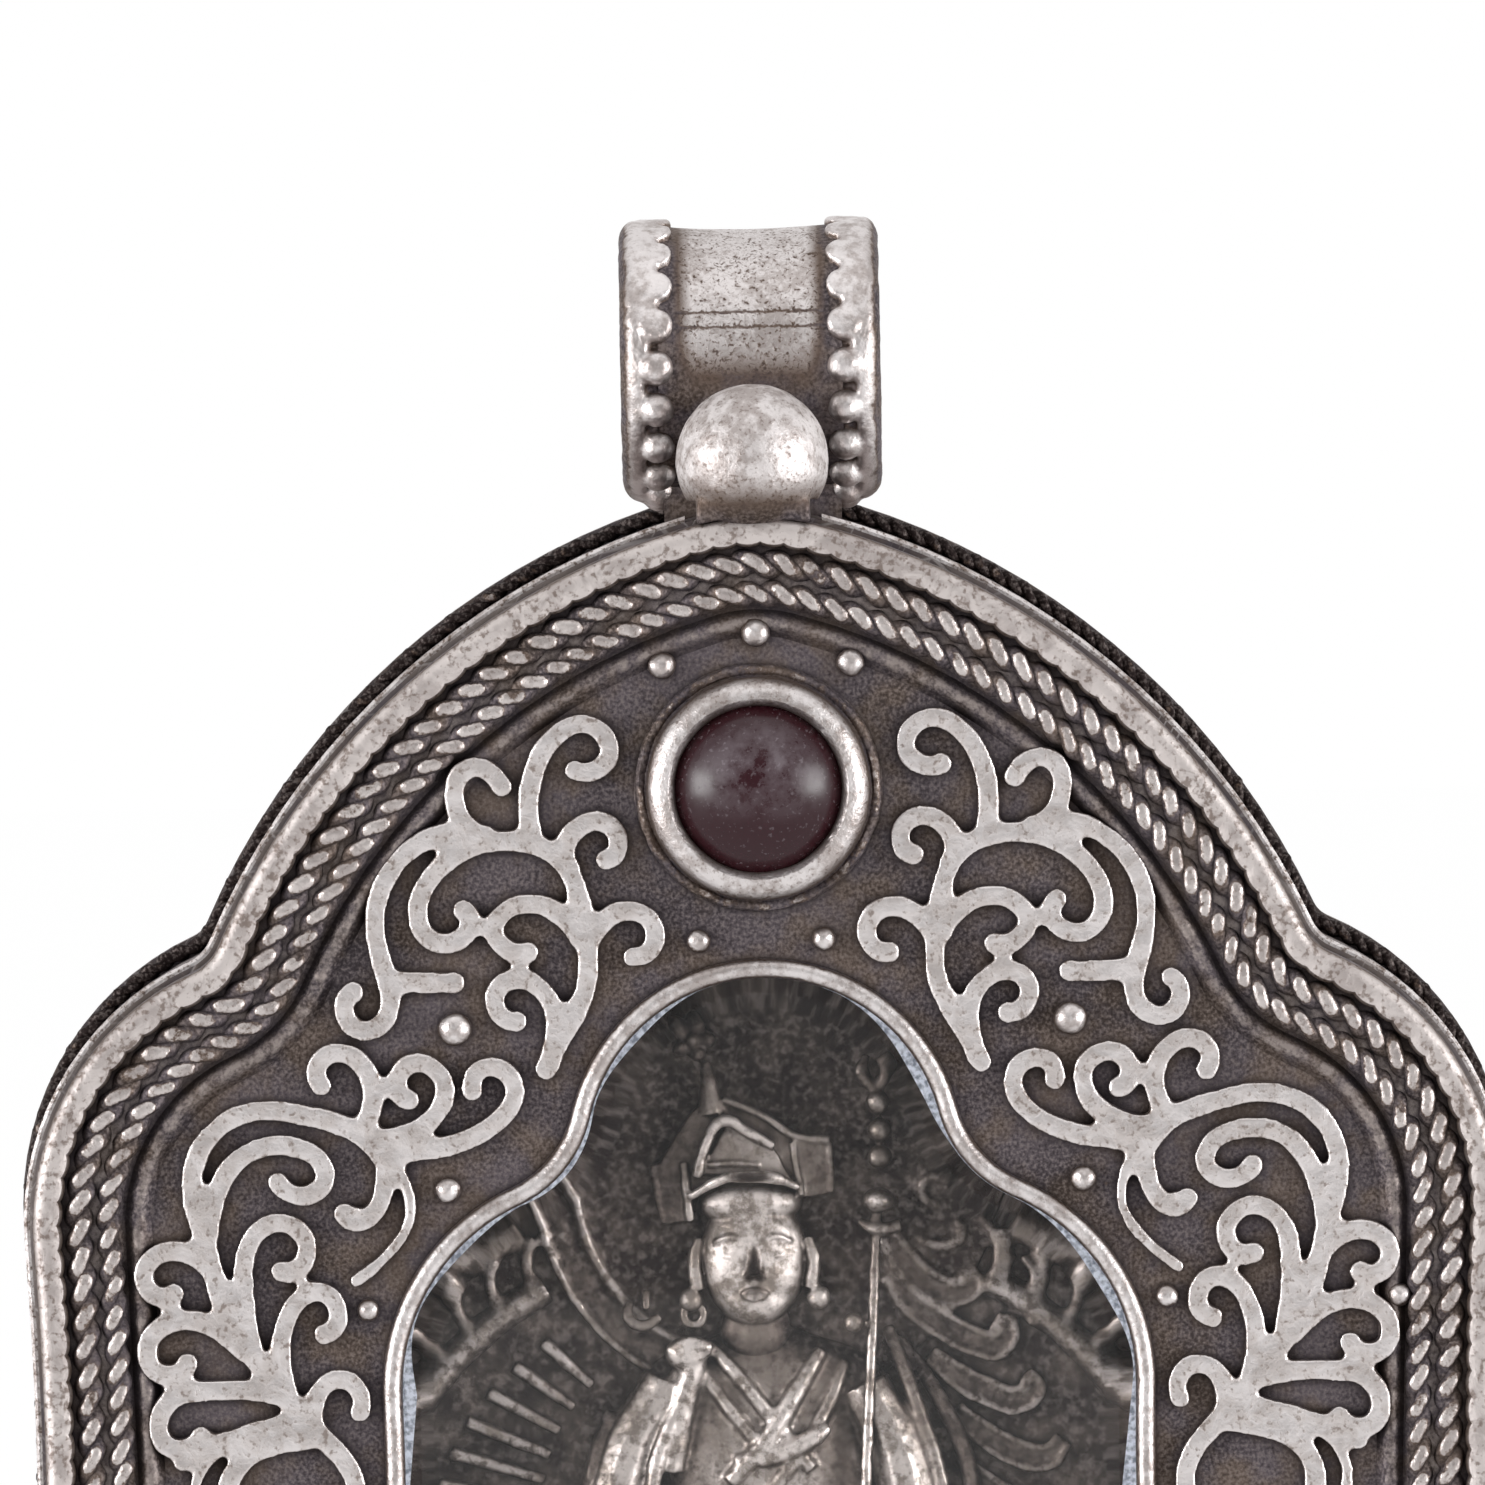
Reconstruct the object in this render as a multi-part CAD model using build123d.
"""Ghau amulet box: a pendant prayer box whose front cover pulls off its back box.

Millimetres, +Z up, front towards -Y, origin at the middle of the bail's bore.
The case is drawn lying on its back: u to the right, v up the face, h forward from the back face.
"""
import math
import os

from build123d import *

# Case outline, seen from the front, about the middle of the case
arch_radius = 24.9
arch_centre_across = 4.5
arch_centre_height = 8.5
apex_radius = 8.0
lobe_radius = 9.3
lobe_centre_inset = 5.1
lobe_centre_height = 9.35
notch_radius = 1.7
waist_depth = 0.3

# Window outline, along the middle of its wire
window_top_radius = 6.35
window_top_height = 11.3
window_lobe_radius = 7.15
window_lobe_out = 5.5
window_lobe_height = 3.6
window_cusp_radius = 4.0
window_waist_depth = 0.05

# Back box
case_depth = 11.4
back_plate_thickness = 0.8
wall_thickness = 0.8
wall_overhang = 0.15
back_rope_diameter = 0.6
lip_width = 0.2
lip_height = 1.2
lip_edge_bevel = 0.1
lip_notch_width = 4.6

# Front cover
seam_gap = 0.25
frame_thickness = 0.8
skirt_clearance = 0.1
skirt_thickness = 0.6
skirt_depth = 6.0
rim_width = 1.0
rim_height = 1.05
wire_gap = 0.05
outer_rope_diameter = 1.0
inner_rope_diameter = 0.9
solder_sink = 0.12

# Window, its pane and the figure plaque behind it
window_wire_diameter = 0.66
pane_overlap = 1.15
pane_thickness = 1.0
collar_clearance = 0.05
collar_thickness = 0.6
spacer_thickness = 0.6
relief_room = 2.45
plaque_thickness = 0.6
tab_length = 1.4
tab_width = 2.4
tab_thickness = 0.6

# Figure on the plaque
head_radius = 2.1
head_height = 7.8
head_across = -0.45
hat_length = 6.4
hat_lean = 15.0
halo_radius = 6.0
halo_width = 0.7
shoulder_width = 9.0
lap_width = 15.0
lap_height = -6.4
seat_height = -10.4
staff_across = 3.7
staff_radius = 0.35
staff_top = 13.6
relief_low = 0.7
relief_high = 1.6

# Stones in their settings
stone_radius = 3.0
stone_girdle = 1.0
stone_dome = 1.6
stone_clearance = 0.03
bezel_wall = 0.72
bezel_height = 1.7
bezel_lip = 0.2
bezel_wire_diameter = 0.4

# Scrollwork and granules
scroll_width = 0.9
tail_width = 0.6
scroll_height = 0.6
side_scroll_gap = 0.32
upper_scroll_gap = 0.52
setting_gap = 0.1
small_granule = 0.38
middle_granule = 0.45
large_granule = 0.58
granule_sink = 0.3
granule_gap = 0.25

# Bail and the ball that keys the cover to the box
bail_bore_radius = 3.9
bail_band_thickness = 0.65
bail_band_width = 6.2
bail_edge_width = 1.3
bail_edge_rise = 0.25
bail_edge_round = 0.4
bail_foot_gap = 0.23
bail_foot_width = 6.0
bail_foot_depth = 3.2
bail_clearance = 0.3
ball_radius = 2.57
ball_seat_radius = 2.2
ball_tab_width = 3.8
ball_tab_depth = 3.0
ball_tab_rise = 0.55
ball_tab_clearance = 0.1

# Scroll centrelines of the upper right quarter: width, then points (u, v)
UPPER_SCROLL = [
    (scroll_width, (6.95, 14.5), (6.35, 15.7), (5.75, 16.9), (5.65, 18.0), (5.8, 19.2), (6.0, 20.3),
     (6.55, 21.25), (7.6, 21.8), (8.9, 21.85), (10.1, 21.4), (11.0, 20.5), (11.3, 19.5), (10.9, 18.7),
     (10.2, 18.55), (9.6, 18.95), (9.75, 19.65)),
    (scroll_width, (5.7, 18.4), (5.2, 19.05), (4.4, 19.5), (3.65, 19.25), (3.4, 18.65), (3.65, 18.1),
     (4.15, 17.95)),
    (scroll_width, (6.2, 20.9), (6.35, 21.6), (6.0, 22.25), (5.3, 22.5), (4.7, 22.15), (4.6, 21.55),
     (5.0, 21.2)),
    (scroll_width, (7.45, 21.9), (7.55, 22.9), (7.4, 24.1), (6.8, 25.2), (5.8, 25.75), (5.0, 25.35),
     (4.85, 24.7), (5.3, 24.2), (6.0, 24.2)),
    (scroll_width, (9.0, 22.1), (9.7, 22.55), (10.0, 23.3), (9.85, 24.1), (9.3, 24.4), (8.75, 24.15),
     (8.45, 23.75)),
    (scroll_width, (8.9, 21.95), (10.2, 22.2), (11.4, 21.75), (12.3, 20.8), (12.7, 19.6), (12.6, 18.3),
     (12.3, 17.2), (12.3, 16.35), (12.75, 15.8), (13.4, 15.8), (13.8, 16.35), (13.5, 17.0)),
    (scroll_width, (12.3, 17.35), (11.2, 17.25), (10.1, 17.25)),
    (scroll_width, (5.9, 18.6), (6.5, 19.35), (7.5, 19.8), (8.4, 19.55), (8.75, 18.9), (8.4, 18.35),
     (7.65, 18.2)),
    (scroll_width, (7.1, 14.3), (6.8, 15.3), (6.85, 16.4), (7.4, 17.1), (8.15, 17.3), (8.75, 16.85),
     (8.65, 16.2), (8.05, 15.9)),
]
SIDE_SCROLL = [
    (scroll_width, (12.7, 11.75), (11.3, 11.75), (9.9, 12.1), (8.75, 12.85), (8.35, 13.7), (8.75, 14.4),
     (9.45, 14.45), (9.75, 13.75)),
    (scroll_width, (12.8, 12.15), (11.7, 12.45), (10.9, 13.1), (10.7, 13.95), (11.2, 14.6), (11.95, 14.6),
     (12.3, 14.0), (11.9, 13.45)),
    (scroll_width, (13.5, 12.5), (13.15, 13.3), (13.2, 14.2), (13.8, 14.95), (14.6, 15.0), (15.0, 14.5),
     (14.85, 14.0)),
    (scroll_width, (12.9, 11.6), (13.9, 12.5), (15.2, 12.95), (16.6, 13.2), (18.0, 12.85), (18.95, 11.9),
     (19.25, 10.6), (18.95, 9.2), (18.6, 7.9), (18.3, 6.7), (17.5, 5.2), (16.4, 3.8), (15.4, 2.6),
     (14.4, 1.5), (13.95, 0.6), (13.9, 0.0)),
    (scroll_width, (18.75, 8.9), (18.5, 10.1), (17.9, 11.3), (16.9, 11.95), (15.8, 11.95), (14.95, 11.5),
     (14.75, 10.85), (15.2, 10.35), (15.85, 10.35), (16.35, 10.75)),
    (scroll_width, (17.3, 5.0), (17.5, 6.3), (17.55, 7.7), (17.25, 8.9), (16.5, 9.4), (15.75, 9.2),
     (15.4, 8.6), (15.6, 7.95), (16.3, 7.8)),
    (scroll_width, (16.2, 3.8), (16.35, 4.9), (16.15, 6.1), (15.6, 6.9), (14.9, 7.05), (14.45, 6.55),
     (14.5, 5.9), (14.9, 5.65)),
    (scroll_width, (15.3, 2.5), (15.25, 3.3), (14.8, 4.0), (14.2, 4.1), (13.75, 3.65), (13.75, 3.0)),
    (scroll_width, (18.8, 8.0), (19.4, 8.4), (20.2, 8.5), (20.8, 8.1), (20.85, 7.4), (20.4, 7.0),
     (19.9, 7.1)),
    (scroll_width, (17.6, 5.1), (18.5, 5.85), (19.5, 6.2), (20.4, 5.95), (20.85, 5.3), (20.7, 4.6),
     (20.1, 4.35), (19.5, 4.75)),
    (scroll_width, (16.4, 3.6), (17.6, 3.8), (18.9, 3.8), (20.0, 3.55), (20.5, 2.8), (20.3, 2.05),
     (19.6, 1.9), (19.1, 2.25)),
    (scroll_width, (15.6, 2.7), (16.8, 2.5), (18.0, 2.15), (19.0, 1.75), (19.7, 1.5)),
    (scroll_width, (15.3, 2.2), (16.5, 1.95), (17.6, 1.5), (18.15, 0.8), (18.25, 0.0)),
    (tail_width, (18.0, 2.0), (18.8, 1.5), (19.25, 0.8), (19.3, 0.0)),
    (scroll_width, (12.7, 11.5), (12.8, 10.5), (13.1, 9.75), (13.65, 9.4), (14.15, 9.7)),
    (tail_width, (12.4, 11.2), (12.0, 10.4), (11.95, 9.5), (12.35, 8.7), (13.0, 8.0), (13.8, 7.4)),
]
# Granules beside the scrolls of the upper right quarter: radius, u, v
SIDE_GRANULES = [(large_granule, 10.32, 15.8), (middle_granule, 10.65, 10.4), (small_granule, 13.4, 6.4)]
# Granules along the middle line, beside the stone: radius and u
INNER_GRANULE = (small_granule, 2.1)
OUTER_GRANULE = (middle_granule, 3.16)

# Heights forward from the back face
frame_back = case_depth + seam_gap
frame_front = frame_back + frame_thickness
rim_front = frame_front + rim_height
pane_back = frame_back - pane_thickness
plaque_front = pane_back - relief_room
plaque_back = plaque_front - plaque_thickness
tab_back = plaque_back - tab_thickness

# Insets from the case outline, negative outside it
skirt_outer = wall_thickness - wall_overhang + skirt_clearance
outer_rope_inset = rim_width + wire_gap + outer_rope_diameter / 2
inner_rope_inset = outer_rope_inset + outer_rope_diameter / 2 + wire_gap + inner_rope_diameter / 2
field_inset = inner_rope_inset + inner_rope_diameter / 2

# Insets from the window outline, negative outside it
opening_inset = window_wire_diameter / 2
pane_inset = opening_inset - pane_overlap
collar_inner = pane_inset - collar_clearance
spacer_inner = pane_inset + spacer_thickness


def meeting(centre_a, reach_a, centre_b, reach_b):
    """The upper point that lies reach_a from one centre and reach_b from the other."""
    du = centre_b[0] - centre_a[0]
    dv = centre_b[1] - centre_a[1]
    apart = math.hypot(du, dv)
    along = (apart**2 + reach_a**2 - reach_b**2) / (2 * apart)
    across = math.sqrt(reach_a**2 - along**2)
    u = centre_a[0] + (along * du - across * dv) / apart
    v = centre_a[1] + (along * dv + across * du) / apart
    return u, v


def waist_arc(lobe_out, lobe_height, radius, depth):
    """The hollow side between two lobes, as (u, v, signed radius)."""
    reach = radius - depth
    waist_radius = (reach**2 + lobe_height**2 - radius**2) / (2 * depth)
    return lobe_out + reach + waist_radius, 0.0, -waist_radius


def case_quarter():
    """Arcs of the case's upper right quarter from the top down; hollow ones have a negative radius."""
    arch = (-arch_centre_across, arch_centre_height)
    apex_v = arch_centre_height + math.sqrt((arch_radius - apex_radius) ** 2 - arch_centre_across**2)
    lobe = (arch_radius - arch_centre_across - lobe_centre_inset, lobe_centre_height)
    notch = meeting(arch, arch_radius + notch_radius, lobe, lobe_radius + notch_radius)
    return [
        (0.0, apex_v, apex_radius),
        (*arch, arch_radius),
        (*notch, -notch_radius),
        (*lobe, lobe_radius),
        waist_arc(*lobe, lobe_radius, waist_depth),
    ]


def window_quarter():
    """Arcs of the window's upper right quarter from the top down."""
    top = (0.0, window_top_height)
    lobe = (window_lobe_out, window_lobe_height)
    cusp_reach = window_top_radius + window_cusp_radius
    cusp = meeting(top, cusp_reach, lobe, window_lobe_radius + window_cusp_radius)
    return [
        (*top, window_top_radius),
        (*cusp, -window_cusp_radius),
        (*lobe, window_lobe_radius),
        waist_arc(*lobe, window_lobe_radius, window_waist_depth),
    ]


def full_loop(quarter):
    """A quarter's arcs mirrored down and across into a closed loop."""
    right = quarter + [(u, -v, r) for u, v, r in reversed(quarter[:-1])]
    left = [(-u, v, r) for u, v, r in reversed(right[1:-1])]
    return right + left


CASE = full_loop(case_quarter())
WINDOW = full_loop(window_quarter())


def outward(arc_a, arc_b):
    """The outward direction at the point where two arcs run into each other."""
    first, second = (arc_a, arc_b) if arc_a[2] > arc_b[2] else (arc_b, arc_a)
    return Vector(second[0] - first[0], second[1] - first[1]).normalized()


def outline(loop, inset):
    """The loop drawn parallel to itself, inset towards its middle."""
    edges = []
    for k, (u, v, radius) in enumerate(loop):
        start = outward(loop[k - 1], loop[k])
        end = outward(loop[k], loop[(k + 1) % len(loop)])
        directions = (start, (start + end).normalized(), end)
        edges.append(ThreePointArc(*[Vector(u, v) + d * (radius - inset) for d in directions]))
    return Wire(edges)


def slab(loop, inset, low, high):
    return Pos(0, 0, low) * extrude(make_face(outline(loop, inset)), amount=high - low, dir=(0, 0, 1))


def band(loop, outer, inner, low, high):
    return slab(loop, outer, low, high) - slab(loop, inner, low, high)


def soldered_wire(loop, inset, diameter, seat, sink):
    """A round wire along the loop, its foot sunk a little into the solder it sits in."""
    path = Pos(0, 0, seat) * outline(loop, inset)
    across = Plane(origin=path @ 0, x_dir=(0, 0, 1), z_dir=path % 0)
    section = Pos(diameter / 2 - sink, 0) * Circle(diameter / 2)
    section &= Pos(diameter / 2, 0) * Rectangle(diameter, diameter)
    return sweep(across * section, path)


def apex(inset):
    """Height of the case's top above its middle."""
    top = CASE[0]
    return top[1] + top[2] - inset


def across_bar(radius, length):
    """A round bar lying across the case."""
    return Rot(0, 90, 0) * Cylinder(radius, length)


# Back box

def back_plate():
    return slab(CASE, -wall_overhang - back_rope_diameter, 0, back_plate_thickness)


def back_wall():
    inner = wall_thickness - wall_overhang
    return band(CASE, -wall_overhang, inner, back_plate_thickness, case_depth)


def back_rope_wire():
    inset = -wall_overhang - back_rope_diameter / 2
    return soldered_wire(CASE, inset, back_rope_diameter, back_plate_thickness, 0)


def back_lip():
    low = case_depth - lip_height
    lip = band(CASE, -wall_overhang - lip_width, -wall_overhang, low, case_depth)
    faces = lip.faces().sort_by(Axis.Z)
    edges = faces[0].outer_wire().edges() + faces[-1].outer_wire().edges()
    lip = chamfer(edges, lip_edge_bevel)
    notch = Pos(0, apex(0), case_depth) * Box(lip_notch_width, lip_notch_width, 2 * lip_height + seam_gap)
    return lip - notch


# Places of the knob and the bail, which clear each other

tab_top = apex(0) + ball_tab_rise
ball_v = tab_top + math.sqrt(ball_radius**2 - ball_seat_radius**2)
ball_h = rim_front - ball_tab_depth / 2
bail_radius = bail_bore_radius + bail_band_thickness
bail_v = apex(-wall_overhang) + bail_foot_gap + bail_radius + bail_edge_rise
bail_ball_reach = bail_radius + ball_radius + bail_clearance
bail_h = ball_h - math.sqrt(bail_ball_reach**2 - (bail_v - ball_v) ** 2)
BAIL = Pos(0, bail_v, bail_h)


def bail_band():
    band_bar = across_bar(bail_radius, bail_band_width)
    return BAIL * (band_bar - across_bar(bail_bore_radius, bail_band_width))


def bail_edge(side):
    edge = across_bar(bail_radius + bail_edge_rise, bail_edge_width)
    edge = fillet(edge.edges().filter_by(GeomType.CIRCLE), bail_edge_round)
    edge -= across_bar(bail_bore_radius, bail_edge_width)
    return BAIL * Pos(side * (bail_band_width + bail_edge_width) / 2, 0, 0) * edge


def bail_foot():
    low = apex(-wall_overhang) - bail_foot_width / 2
    high = bail_v - math.sqrt(bail_radius**2 - (bail_foot_depth / 2) ** 2)
    block = Pos(0, (low + high) / 2, bail_h) * Box(bail_foot_width, high - low, bail_foot_depth)
    block -= slab(CASE, -wall_overhang, 0, case_depth)
    return block - BAIL * across_bar(bail_radius, bail_foot_width)


# Front cover

def frame_plate():
    return slab(CASE, 0, frame_back, frame_front) - slab(WINDOW, opening_inset, frame_back, frame_front)


def front_skirt():
    return band(CASE, skirt_outer, skirt_outer + skirt_thickness, frame_back - skirt_depth, frame_back)


def front_rim():
    return band(CASE, 0, rim_width, frame_front, rim_front)


def window_collar():
    return band(WINDOW, collar_inner - collar_thickness, collar_inner, tab_back, frame_back)


def window_pane():
    return slab(WINDOW, pane_inset, pane_back, frame_back)


def pane_spacer():
    return band(WINDOW, pane_inset, spacer_inner, plaque_front, pane_back)


def plaque_tabs():
    """Four tabs inside the collar that hold the plaque from behind."""
    room = slab(WINDOW, collar_inner, tab_back, plaque_back)
    half_width = window_lobe_out + window_lobe_radius - window_waist_depth - collar_inner
    half_height = window_top_height + window_top_radius - collar_inner
    upright = Box(tab_width, 2 * tab_length, 4 * tab_thickness)
    level = Box(2 * tab_length, tab_width, 4 * tab_thickness)
    places = [(0, side * half_height, upright) for side in (1, -1)]
    places += [(side * half_width, 0, level) for side in (1, -1)]
    return [room & Pos(u, v, tab_back) * block for u, v, block in places]


def seated_figure():
    """A seated figure in low relief with a tall hat, a halo and a staff, on a wide seat."""
    head = Pos(head_across, head_height, 0)
    halo = head * Cylinder(halo_radius, relief_low) - head * Cylinder(halo_radius - halo_width, relief_low)
    hat = Rot(-90, 0, 0) * Cone(head_radius, staff_radius, hat_length)
    hat = Rot(0, 0, hat_lean) * Pos(0, (head_radius + hat_length) / 2, 0) * hat
    shoulders = head_height - head_radius
    chest = Polygon(
        (-shoulder_width / 2, shoulders - head_radius),
        (0, shoulders),
        (shoulder_width / 2, shoulders - head_radius),
        (shoulder_width / 2, lap_height),
        (-shoulder_width / 2, lap_height),
        align=None,
    )
    lap = Pos(0, lap_height) * SlotOverall(lap_width, lap_width / 4)
    seat = Pos(0, seat_height) * SlotOverall(lap_width, lap_width / 4)
    staff_length = staff_top - seat_height
    staff = Pos(staff_across, seat_height + staff_length / 2, 0) * Rot(90, 0, 0)
    figure = halo + head * Sphere(head_radius) + head * hat
    figure += extrude(chest, amount=relief_low)
    figure += extrude(lap, amount=relief_high)
    figure += extrude(seat, amount=relief_low)
    figure += staff * Cylinder(staff_radius, staff_length)
    return figure


def figure_plaque():
    room = slab(WINDOW, spacer_inner + collar_clearance, plaque_front, pane_back - collar_clearance)
    sheet = slab(WINDOW, pane_inset, plaque_back, plaque_front)
    return sheet + (room & Pos(0, 0, plaque_front) * seated_figure())


# Scrollwork, granules and settings on the frame plate

def inside_case(u):
    """Height of the field's upper edge above the middle, at a place across it."""
    reach = arch_radius - field_inset
    return arch_centre_height + math.sqrt(reach**2 - (u + arch_centre_across) ** 2)


WINDOW_TOP = window_top_height + window_top_radius + opening_inset
FIELD_TOP = apex(field_inset)
setting_v = (WINDOW_TOP + FIELD_TOP) / 2
setting_radius = stone_radius + stone_clearance + bezel_wall + bezel_wire_diameter + setting_gap


def spread(value, low, high, new_low, new_high):
    return new_low + (value - low) * (new_high - new_low) / (high - low)


def beside_window(point):
    """A point of the side scroll, kept between the window's side and the rim."""
    low = min(u - width / 2 for width, *points in SIDE_SCROLL for u, v in points if v < window_lobe_height)
    high = max(u + width / 2 for width, *points in SIDE_SCROLL for u, v in points)
    window_side = window_lobe_out + window_lobe_radius + opening_inset + side_scroll_gap
    lobe_out = arch_radius - arch_centre_across - lobe_centre_inset
    rim_side = lobe_out + lobe_radius - waist_depth - field_inset
    return spread(point[0], low, high, window_side, rim_side), point[1]


def above_window(point):
    """A point of the upper scroll, kept between the window's shoulder and the rim's arch."""
    def reach(u, v):
        return math.hypot(u + arch_centre_across, v - arch_centre_height)

    low = min(reach(u, v) - width / 2 for width, *points in UPPER_SCROLL for u, v in points)
    high = max(reach(u, v) + width / 2 for width, *points in UPPER_SCROLL for u, v in points)
    shoulder = outward(WINDOW[0], WINDOW[1]) * window_top_radius + Vector(*WINDOW[0][:2])
    window_side = reach(shoulder.X, shoulder.Y) + opening_inset + upper_scroll_gap
    new_reach = spread(reach(*point), low, high, window_side, arch_radius - field_inset)
    growth = new_reach / reach(*point)
    u = growth * (point[0] + arch_centre_across) - arch_centre_across
    v = growth * (point[1] - arch_centre_height) + arch_centre_height
    return u, v


def scroll_sketch(strokes, place):
    """Flat strokes of even width with round ends, trimmed to the field round window and stones."""
    sketch = Sketch()
    for width, *points in strokes:
        points = [place(p) for p in points]
        sketch += trace(Spline(points), width)
        sketch += [Pos(*end) * Circle(width / 2) for end in (points[0], points[-1])]
    field = make_face(outline(CASE, field_inset)) - make_face(outline(WINDOW, -opening_inset))
    return sketch & (field - Pos(0, setting_v) * Circle(setting_radius))


def raised(sketch):
    return Pos(0, 0, frame_front) * extrude(sketch, amount=scroll_height, dir=(0, 0, 1))


def granules():
    def granule(radius, u, v):
        bead = Pos(0, 0, radius * (1 - granule_sink)) * Sphere(radius)
        bead &= Pos(0, 0, radius) * Box(2 * radius, 2 * radius, 2 * radius)
        return Pos(u, v, frame_front) * bead

    inner_r, inner_u = INNER_GRANULE
    outer_r, outer_u = OUTER_GRANULE
    places = [(r, *beside_window((u, v))) for r, u, v in SIDE_GRANULES]
    places.append((inner_r, inner_u, WINDOW_TOP + granule_gap + inner_r))
    places.append((outer_r, outer_u, inside_case(outer_u) - granule_gap - outer_r))
    beads = [granule(r, su * u, sv * v) for r, u, v in places for su in (1, -1) for sv in (1, -1)]
    return beads + [granule(outer_r, 0, sv * (FIELD_TOP - outer_r)) for sv in (1, -1)]


bezel_inner = stone_radius + stone_clearance
bezel_outer = bezel_inner + bezel_wall
dome_radius = (stone_radius**2 + stone_dome**2) / (2 * stone_dome)


def dome_height(radius):
    """Height of the stone's dome above its girdle, at a radius from its middle."""
    return math.sqrt(dome_radius**2 - radius**2) - (dome_radius - stone_dome)


def turned(*edges):
    """A solid of revolution from its half profile, drawn as (radius, height)."""
    return revolve(Plane.XZ * make_face(edges), Axis.Z)


def stone():
    middle = stone_radius / 2
    crown = ThreePointArc(
        (stone_radius, stone_girdle),
        (middle, stone_girdle + dome_height(middle)),
        (0, stone_girdle + stone_dome),
    )
    top = (0, stone_girdle + stone_dome)
    sides = Polyline(top, (0, 0), (stone_radius, 0), (stone_radius, stone_girdle))
    return turned(*crown.edges(), *sides.edges())


def bezel():
    lip = stone_radius - bezel_lip
    lip_low = stone_girdle + dome_height(lip) + stone_clearance
    shoulder = bezel_height - bezel_wall
    slope = bezel_wall * math.sqrt(0.5)
    top = ThreePointArc(
        (bezel_outer, shoulder),
        (bezel_inner + slope, shoulder + slope),
        (bezel_inner, bezel_height),
    )
    sides = Polyline(
        (bezel_inner, bezel_height),
        (lip, lip_low + bezel_lip),
        (lip, lip_low),
        (bezel_inner, stone_girdle),
        (bezel_inner, 0),
        (bezel_outer, 0),
        (bezel_outer, shoulder),
    )
    return turned(*top.edges(), *sides.edges())


def bezel_wire():
    radius = bezel_wire_diameter / 2
    return Pos(0, 0, radius) * Torus(bezel_outer + radius, radius)


def setting_place(side):
    return Pos(0, side * setting_v, frame_front)


# Knob

def knob_tab():
    """The tab under the ball, with a tongue that keys into the notch of the lip."""
    def strip(inset, low, high):
        bottom = apex(0) - ball_tab_width
        block = Box(ball_tab_width, tab_top - bottom, high - low)
        return Pos(0, (bottom + tab_top) / 2, (low + high) / 2) * block - slab(CASE, inset, low, high)

    tongue = strip(-wall_overhang - ball_tab_clearance, ball_h - ball_tab_depth / 2, frame_back)
    return strip(0, frame_back, rim_front) + tongue


def knob_ball():
    ball = Pos(0, ball_v, ball_h) * Sphere(ball_radius)
    width = 2 * ball_radius
    return ball - Pos(0, tab_top - ball_radius, ball_h) * Box(width, width, width)


# Assembly

UPPER_RIGHT = raised(scroll_sketch(UPPER_SCROLL, above_window))
SIDE_HALF = scroll_sketch(SIDE_SCROLL, beside_window)
SIDE_RIGHT = raised(SIDE_HALF + mirror(SIDE_HALF, Plane.XZ))

NODES = {
    "back_plate": back_plate(),
    "back_wall": back_wall(),
    "back_rope_wire": back_rope_wire(),
    "back_lip": back_lip(),
    "bail_band": bail_band(),
    "bail_edge_left": bail_edge(-1),
    "bail_edge_right": bail_edge(1),
    "bail_foot": bail_foot(),
    "frame_plate": frame_plate(),
    "front_skirt": front_skirt(),
    "front_rim": front_rim(),
    "outer_rope_wire": soldered_wire(CASE, outer_rope_inset, outer_rope_diameter, frame_front, solder_sink),
    "inner_rope_wire": soldered_wire(CASE, inner_rope_inset, inner_rope_diameter, frame_front, solder_sink),
    "window_wire": soldered_wire(WINDOW, 0, window_wire_diameter, frame_front, solder_sink),
    "window_collar": window_collar(),
    "window_pane": window_pane(),
    "pane_spacer": pane_spacer(),
    "figure_plaque": figure_plaque(),
    "plaque_tabs": plaque_tabs(),
    "scroll_upper_right": UPPER_RIGHT,
    "scroll_upper_left": mirror(UPPER_RIGHT, Plane.YZ),
    "scroll_lower_right": mirror(UPPER_RIGHT, Plane.XZ),
    "scroll_lower_left": mirror(mirror(UPPER_RIGHT, Plane.XZ), Plane.YZ),
    "scroll_side_right": SIDE_RIGHT,
    "scroll_side_left": mirror(SIDE_RIGHT, Plane.YZ),
    "granules": granules(),
    "upper_bezel": setting_place(1) * bezel(),
    "lower_bezel": setting_place(-1) * bezel(),
    "upper_stone": setting_place(1) * stone(),
    "lower_stone": setting_place(-1) * stone(),
    "upper_bezel_wire": setting_place(1) * bezel_wire(),
    "lower_bezel_wire": setting_place(-1) * bezel_wire(),
    "knob_tab": knob_tab(),
    "knob_ball": knob_ball(),
}

# Stands the case up, facing -Y, with the bail's bore at the origin
UPRIGHT = Plane(origin=(0, bail_h, -bail_v), x_dir=(1, 0, 0), z_dir=(0, -1, 0)).location

os.makedirs("parts", exist_ok=True)
for name, shape in NODES.items():
    solids = shape if isinstance(shape, list) else [shape]
    placed = Compound([UPRIGHT * solid for piece in solids for solid in piece.solids()])
    placed.label = name
    export_step(placed, f"parts/{name}.step")
